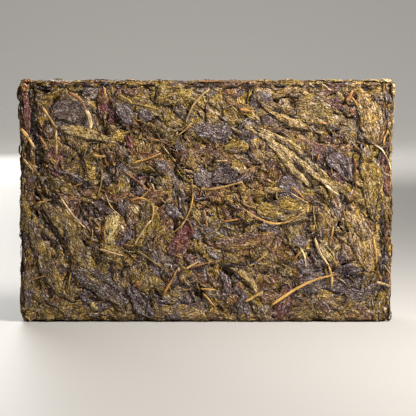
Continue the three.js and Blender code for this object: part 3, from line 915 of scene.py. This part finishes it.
def scatter_stalks(face, heap, sizes):
    for density, lengths, widths in sizes:
        for _ in range(round(density * face.area_cm2)):
            place = face.low_place(STALK_TRIES)
            angle = face.lie(place, face.size) + draw.normal(0, STALK_SPREAD)
            length = between(lengths)
            ends = ends_of(face, place, angle, length)
            shade = to_linear(STALK_COLOURS[pick(STALK_SHARES)]) * between(STALK_SHADES)
            bend = draw.uniform(-STALK_BEND, STALK_BEND) * length
            lay_stalk(heap, face, ends, bend, between(widths), shade)


def scatter_patches(face):
    for _ in range(round(PATCHES_PER_CM2 * face.area_cm2)):
        place = draw.uniform(-0.5, 0.5, 2) * face.size
        face.add_patch(place, between(PATCH_REACH), pick(PATCH_SHARES))


def crack_lines(start, end, bow):
    """A crack's broken line: rows of points with gaps between them."""
    count = max(int(math.dist(start, end) / CRACK_STEP), 4)
    line, left, length = arch(start, end, bow, np.linspace(0, 1, count))
    line = line + left * wander(count, max(int(length / CRACK_KNOT), 3), CRACK_STRAY)[:, None]
    at = 0
    while at < len(line) - 3:
        until = at + draw.integers(*CRACK_RUN)
        yield line[at:until]
        at = until + draw.integers(*CRACK_GAP)


def scattered_cracks(face):
    """More cracks, at random: start, end, bow and width."""
    for _ in range(round(CRACKS_PER_CM2 * face.area_cm2)):
        place = draw.uniform(-0.5, 0.5, 2) * (face.size - 4 * EDGE_ROUNDING)
        length = between(CRACK_LENGTH)
        start, end = ends_of(face, place, face.lie(place, face.size), length)
        yield start, end, draw.uniform(-CRACK_BEND, CRACK_BEND) * length, between(CRACK_WIDTH)


def lay_named(heaps, stalks, cracks):
    """The leaves, cracks and stalks that stand out on the front face."""
    cells = LEAF_SIZES[2][-1]
    for _, *ends, bow, width, kind in FRONT_LEAVES:
        colour = to_linear(LEAF_COLOURS[kind][0]) * NAMED_SHADE
        ends = [on_front(end) for end in ends]
        lay_leaf(
            heaps[kind], FRONT, ends, bow, width, colour, cells,
            blunt=NAMED_BLUNT, stiff=NAMED_STIFF, weight=NAMED_COLOUR, lift=NAMED_LIFT, rough=NAMED_RELIEF,
        )
    # Painted shadow: dark strips laid along the cracks
    for line, width in cracks:
        if len(line) > 3:
            shadow_strip = width * between(CRACK_SHADOW_STRIP)
            ends = (line[0], line[-1])
            how = {"stiff": 0, "weight": CRACK_OWN_COLOUR, "lift": CRACK_LIFT, "sunk": CRACK_SUNK}
            lay_leaf(heaps["dark"], FRONT, ends, 0, shadow_strip, CRACK_SHADOW_COLOUR, CRACK_MESH, **how)
    fill_face(FRONT, heaps, [CRUMBS])
    for *ends, bow, width, shade in FRONT_STALKS:
        ends = [on_front(end) for end in ends]
        colour = to_linear(STALK_COLOURS[shade]) * between(NAMED_STALK_SHADES)
        lay_stalk(stalks, FRONT, ends, bow, width, colour, NAMED_STALK_LIFT)


def lay_loose(heaps, faces):
    """Leaves whose middle stands off the brick: those of the corners, and some along every edge."""
    cells = LEAF_SIZES[3][-1]
    for name, *ends, width, kind, lift in CORNER_LEAVES:
        colour = to_linear(LEAF_COLOURS[kind][0])
        how = {"blunt": LOOSE_BLUNT, "weight": NAMED_COLOUR, "lift": lift}
        lay_leaf(heaps[kind], faces[name], ends, LOOSE_BOW, width, colour, cells, **how)
    for name in ("top", "left", "right"):
        face = faces[name]
        for _ in range(round(LOOSE_LEAVES * face.size[0] / LENGTH)):
            side = draw.choice((-1, 1)) * (face.size[1] / 2 - LOOSE_MARGIN)
            place = np.array([draw.uniform(-0.5, 0.5) * face.size[0], side])
            ends = ends_of(face, place, face.lie(place, face.size), between(LOOSE_LENGTH))
            kind = pick(EDGE_SHARES)
            width = between(LOOSE_WIDTH)
            colour = leaf_colour(kind)
            lift = between(LOOSE_LIFT)
            lay_leaf(heaps[kind], face, ends, LOOSE_BOW, width, colour, cells, LOOSE_BLUNT, lift=lift)


def core_object(material):
    """The core: a block under the leaves, with its faces split into cells, dark as painted shade for the
    gaps.
    """
    size = (HIGH - LOW) / 2 - CORE_DEPTHS
    cells = np.ceil(2 * size / CORE_CELL).astype(int)
    heap = Heap()
    for face in FACES:
        axes = [int(np.argmax(np.abs(axis))) for axis in (face.right, face.up)]
        rows, columns = (cells[axis] + 1 for axis in axes)
        u = np.linspace(-1, 1, rows) * size[axes[0]]
        v = np.linspace(-1, 1, columns) * size[axes[1]]
        grid = np.stack(np.meshgrid(u, v, indexing="ij"), -1)
        flat = grid[..., :1] * face.right + grid[..., 1:] * face.up + (face.reach - face.depth) * face.outward
        points = ((flat + CENTRE) * MM).reshape(-1, 3)
        index = np.arange(rows * columns).reshape(rows, columns)
        quads = np.stack([index[:-1, :-1], index[1:, :-1], index[1:, 1:], index[:-1, 1:]], -1).reshape(-1, 4)
        shade = np.tile(to_linear(CORE_SHADE_COLOUR), (len(points), 1))
        heap.add(points, quads, shade, points / MM)
    weld(heap.to_object("core", material))


def weld(piece):
    """Joins points that lie on one spot, so that the mesh is closed."""
    form = bmesh.new()
    form.from_mesh(piece.data)
    bmesh.ops.remove_doubles(form, verts=form.verts, dist=1e-6)
    form.to_mesh(piece.data)
    form.free()


class Nodes:
    """Short ways to make and link the nodes of a material."""

    def __init__(self, name):
        self.material = bpy.data.materials.new(name)
        self.material.use_nodes = True
        self.tree = self.material.node_tree
        self.shader = self.tree.nodes["Principled BSDF"]

    def put(self, socket, value):
        if isinstance(value, bpy.types.NodeSocket):
            self.tree.links.new(value, socket)
        else:
            socket.default_value = value

    def node(self, kind, values, **settings):
        made = self.tree.nodes.new(kind)
        for key, value in settings.items():
            setattr(made, key, value)
        for key, value in values.items():
            self.put(made.inputs[key], value)
        return made

    def attribute(self, name):
        return self.node("ShaderNodeAttribute", {}, attribute_name=name)

    def noise(self, place, scale, detail=4.0, rough=0.6):
        """Noise over a place in millimetres, with a scale for each direction, per millimetre."""
        spread = self.node("ShaderNodeVectorMath", {0: place, 1: scale}, operation="MULTIPLY")
        values = {"Vector": spread.outputs[0], "Scale": 1.0, "Detail": detail, "Roughness": rough}
        return self.node("ShaderNodeTexNoise", values).outputs["Fac"]

    def sum_of(self, first, share, second):
        """first and second, mixed with that share of the second."""
        made = self.node("ShaderNodeMix", {}, data_type="FLOAT")
        for socket, value in zip(made.inputs[:4], (share, None, first, second)):
            if value is not None:
                self.put(socket, value)
        return made.outputs[0]

    def level(self, value, low, high, start, end):
        """value from low..high to start..end."""
        values = {"Value": value, "From Min": low, "From Max": high, "To Min": start, "To Max": end}
        return self.node("ShaderNodeMapRange", values).outputs["Result"]

    def crease(self, noise):
        """0 along thin winding lines and more to both sides of them."""
        centred = self.node("ShaderNodeMath", {0: noise, 1: 0.5}, operation="SUBTRACT").outputs[0]
        return self.node("ShaderNodeMath", {0: centred}, operation="ABSOLUTE").outputs[0]

    def scaled(self, colour, factor):
        return self.node("ShaderNodeVectorMath", {0: colour, "Scale": factor}, operation="SCALE").outputs[0]

    def mixed(self, factor, first, colour):
        """first, mixed with that share of a colour given in sRGB."""
        made = self.node("ShaderNodeMix", {}, data_type="RGBA")
        self.put(made.inputs[0], factor)
        self.put(made.inputs[6], first)
        self.put(made.inputs[7], (*to_linear(colour), 1))
        return made.outputs[2]

    def bump(self, height, strength, distance):
        values = {"Height": height, "Strength": strength, "Distance": distance * MM}
        return self.node("ShaderNodeBump", values).outputs["Normal"]


def leaf_material(name, gloss, bloom, ribbed=0.14, yellowed=0.72):
    """A dry pressed leaf: fine ribs along it, a crumpled skin with painted light and glints on its high spots
    and painted shade in its pits and creases, and stains.

    gloss is the middle of its roughness, bloom the colour of its blotches, ribbed how much its ribs
    show and yellowed how strong its yellow stains are.
    """
    make = Nodes(name)
    tint = make.attribute("tint").outputs["Color"]
    place = make.attribute("leaf_place").outputs["Vector"]
    ribs = make.noise(place, RIBS)
    folds = make.noise(place, FOLDS, detail=2.0)
    crumple = make.noise(place, CRUMPLES, detail=2.0, rough=0.75)
    grain = make.noise(place, GRAIN, detail=1.0)
    crease = make.crease(make.noise(place, CREASES, detail=2.0))
    wrinkle = make.crease(make.noise(place, WRINKLES, detail=1.0))
    blotches = make.noise(place, BLOTCHES, detail=3.0)
    stains = make.noise(place, STAINS, detail=2.0)

    relief = make.sum_of(make.sum_of(folds, CRUMPLE_SHARE, crumple), ribbed, ribs)
    crease = make.level(crease, 0.0, 0.07, 0.0, 1.0)
    wrinkle = make.level(wrinkle, 0.0, 0.08, 0.0, 1.0)
    height = make.sum_of(relief, VALLEY_SHARE, make.sum_of(crease, WRINKLE_SHARE, wrinkle))

    colour = make.mixed(make.level(blotches, 0.42, 0.58, 0.0, 0.75), tint, bloom)
    colour = make.mixed(make.level(stains, 0.38, 0.47, 0.46, 0.0), colour, MAUVE_STAIN)
    colour = make.mixed(make.level(stains, 0.54, 0.62, 0.0, yellowed), colour, YELLOW_STAIN)
    colour = make.scaled(colour, make.level(grain, 0.35, 0.65, 0.66, 1.34))
    # Painted light and shade: the skin's colour is made lighter on its high spots and darker in its hollows
    colour = make.scaled(colour, make.level(height, 0.46, 0.64, 0.66, 1.64))
    # Painted highlight: the highest spots of the crumpled skin are mixed towards a pale glint colour
    colour = make.mixed(make.level(height, 0.58, 0.67, 0.0, 0.56), colour, PAINTED_GLINT)
    # Painted shade: the low spots of the skin, its pits and creases, are mixed towards a dark pit colour
    colour = make.mixed(make.level(height, 0.45, 0.53, 0.76, 0.0), colour, PIT_SHADE)
    rougher, smoother = (gloss + change for change in GLOSS_SPREAD)
    make.put(make.shader.inputs["Base Color"], colour)
    make.put(make.shader.inputs["Normal"], make.bump(height, 1.0, LEAF_BUMP))
    make.put(make.shader.inputs["Roughness"], make.level(crumple, 0.35, 0.65, rougher, smoother))
    make.shader.inputs["Specular IOR Level"].default_value = LEAF_SPECULAR
    return make.material


def stalk_material():
    make = Nodes("stalk")
    tint = make.attribute("tint").outputs["Color"]
    place = make.attribute("leaf_place").outputs["Vector"]
    ribs = make.noise(place, STALK_RIBS)
    scars = make.noise(place, SCARS, detail=5.0)
    colour = make.scaled(tint, make.level(ribs, 0.3, 0.7, 0.7, 1.3))
    colour = make.scaled(colour, make.level(scars, 0.3, 0.7, 0.65, 1.25))
    make.put(make.shader.inputs["Base Color"], colour)
    make.put(make.shader.inputs["Normal"], make.bump(ribs, 0.7, 0.2))
    make.put(make.shader.inputs["Roughness"], make.level(scars, 0.3, 0.7, 0.6, 0.42))
    return make.material


def core_material():
    make = Nodes("core")
    tint = make.attribute("tint").outputs["Color"]
    place = make.attribute("leaf_place").outputs["Vector"]
    crumbs = make.noise(place, CORE_CRUMBS, detail=6.0)
    make.put(make.shader.inputs["Base Color"], make.scaled(tint, make.level(crumbs, 0.3, 0.7, 0.5, 1.5)))
    make.put(make.shader.inputs["Normal"], make.bump(crumbs, 1.0, 0.8))
    make.shader.inputs["Roughness"].default_value = CORE_ROUGHNESS
    return make.material


# The colour of the strips along the cracks, a painted shadow
CRACK_SHADOW_COLOUR = to_linear(LEAF_COLOURS["dark"][0])
GROUPS = {"front": "front", "back": "back", "top": "edge", "foot": "edge", "left": "edge", "right": "edge"}
MATERIALS = {
    "olive": leaf_material("olive_leaf", 0.46, (104, 82, 40)),
    "tan": leaf_material("tan_leaf", 0.48, (136, 106, 56)),
    "brown": leaf_material("brown_leaf", 0.46, (104, 74, 40)),
    "slate": leaf_material("slate_leaf", 0.38, (100, 85, 78), yellowed=0.12),
    "pale": leaf_material("pale_leaf", 0.4, (196, 168, 104), 0.3),
    "gold": leaf_material("gold_leaf", 0.44, (164, 138, 82), 0.36),
    "dusk": leaf_material("dusk_leaf", 0.42, (72, 60, 50), yellowed=0.3),
    "rust": leaf_material("rust_leaf", 0.5, (140, 84, 40)),
    "maroon": leaf_material("maroon_leaf", 0.42, (92, 56, 48), yellowed=0.2),
    "dark": leaf_material("crack_shadow_strip", 0.7, (22, 17, 13), yellowed=0.3),
}
STALK_MATERIAL = stalk_material()

heaps = {group: {kind: Heap() for kind in LEAF_COLOURS} for group in ("front", "back", "edge")}
stalks = {group: Heap() for group in ("front", "back", "edge")}
for name, patches in FRONT_PATCHES.items():
    for x, z, reach in patches:
        FRONT.add_patch(on_front((x, z)), reach, name)
cracks = []
named_cracks = [(on_front(start), on_front(end), bow, width) for start, end, bow, width in FRONT_CRACKS]
for start, end, bow, width in [*named_cracks, *scattered_cracks(FRONT)]:
    for line in crack_lines(start, end, bow):
        FRONT.open_crack(line, width)
        cracks.append((line, width))
for face in FACES:
    if face is not FRONT:
        scatter_patches(face)
    group = GROUPS[face.name]
    fill_face(face, heaps[group], layers_of(face))
    scatter_stalks(face, stalks[group], STALK_SIZES)
    if face is not FRONT:
        scatter_stalks(face, stalks[group], LONG_STALKS)
        fill_face(face, heaps[group], [CRUMBS])
lay_named(heaps["front"], stalks["front"], cracks)
lay_loose(heaps["edge"], {face.name: face for face in FACES})

for group, kinds in heaps.items():
    for kind, heap in kinds.items():
        if heap.pieces:
            heap.to_object(f"{kind}_leaves_{group}", MATERIALS[kind])
    stalks[group].to_object(f"stalks_{group}", STALK_MATERIAL)
core_object(core_material())


def make_floor():
    """A pale floor that rises in a wide bowl all round, so that no horizon shows."""
    bend = np.linspace(0, math.pi / 2, FLOOR_BENDS)
    profile = [(0.0, 0.0), *zip(FLOOR_RADIUS + BOWL_RADIUS * np.sin(bend), BOWL_RADIUS * (1 - np.cos(bend)))]
    turns = np.linspace(0, 2 * math.pi, FLOOR_TURNS, endpoint=False)
    points = [(r * math.cos(turn), r * math.sin(turn), z) for r, z in profile for turn in turns]
    ring = np.arange(len(points)).reshape(len(profile), FLOOR_TURNS)
    after = np.roll(ring, -1, axis=1)
    quads = np.stack([ring[:-1], after[:-1], after[1:], ring[1:]], -1).reshape(-1, 4).tolist()
    mesh = bpy.data.meshes.new("floor")
    mesh.from_pydata(points, [], quads)
    mesh.shade_smooth()
    floor = bpy.data.objects.new("floor", mesh)
    bpy.context.scene.collection.objects.link(floor)
    make = Nodes("floor")
    make.shader.inputs["Base Color"].default_value = FLOOR_COLOUR
    make.shader.inputs["Roughness"].default_value = FLOOR_ROUGHNESS
    mesh.materials.append(make.material)
    floor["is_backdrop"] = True


def look_at(thing, place, aim):
    """Puts a camera or a lamp at a place, turned to the aim."""
    thing.location = place
    away = np.array(place) - np.array(aim)
    thing.rotation_euler = (
        math.atan2(math.hypot(away[0], away[1]), away[2]),
        0,
        math.atan2(away[0], -away[1]),
    )
    bpy.context.scene.collection.objects.link(thing)


def make_camera():
    lens = bpy.data.cameras.new("camera")
    lens.sensor_width = SENSOR
    lens.lens = SENSOR * (CAMERA_DISTANCE - DEPTH / 2) / FRAME_WIDTH
    lens.clip_start = 0.01
    camera = bpy.data.objects.new("camera", lens)
    aim = np.array(CAMERA_AIM)
    tilt = math.radians(CAMERA_ELEVATION)
    place = aim + CAMERA_DISTANCE * np.array([0, -math.cos(tilt), math.sin(tilt)])
    look_at(camera, place * MM, aim * MM)
    bpy.context.scene.camera = camera


def make_lamp(name, place, size, power, colour, aim):
    lamp = bpy.data.lights.new(name, "AREA")
    lamp.shape = "DISK"
    lamp.size = size
    lamp.energy = power
    lamp.color = colour
    look_at(bpy.data.objects.new(name, lamp), place, aim)


def make_studio():
    make_floor()
    make_camera()
    for lamp in LAMPS:
        make_lamp(*lamp)
    world = bpy.data.worlds.new("studio")
    world.use_nodes = True
    backdrop = world.node_tree.nodes["Background"]
    backdrop.inputs["Color"].default_value = WORLD_COLOUR
    backdrop.inputs["Strength"].default_value = WORLD_STRENGTH
    bpy.context.scene.world = world
    bpy.context.scene.view_settings.view_transform = "Standard"


make_studio()

boxes = {"cad": CAD_BOX, "visual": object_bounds()}
{name: [list(corner) for corner in box] for name, box in boxes.items()}
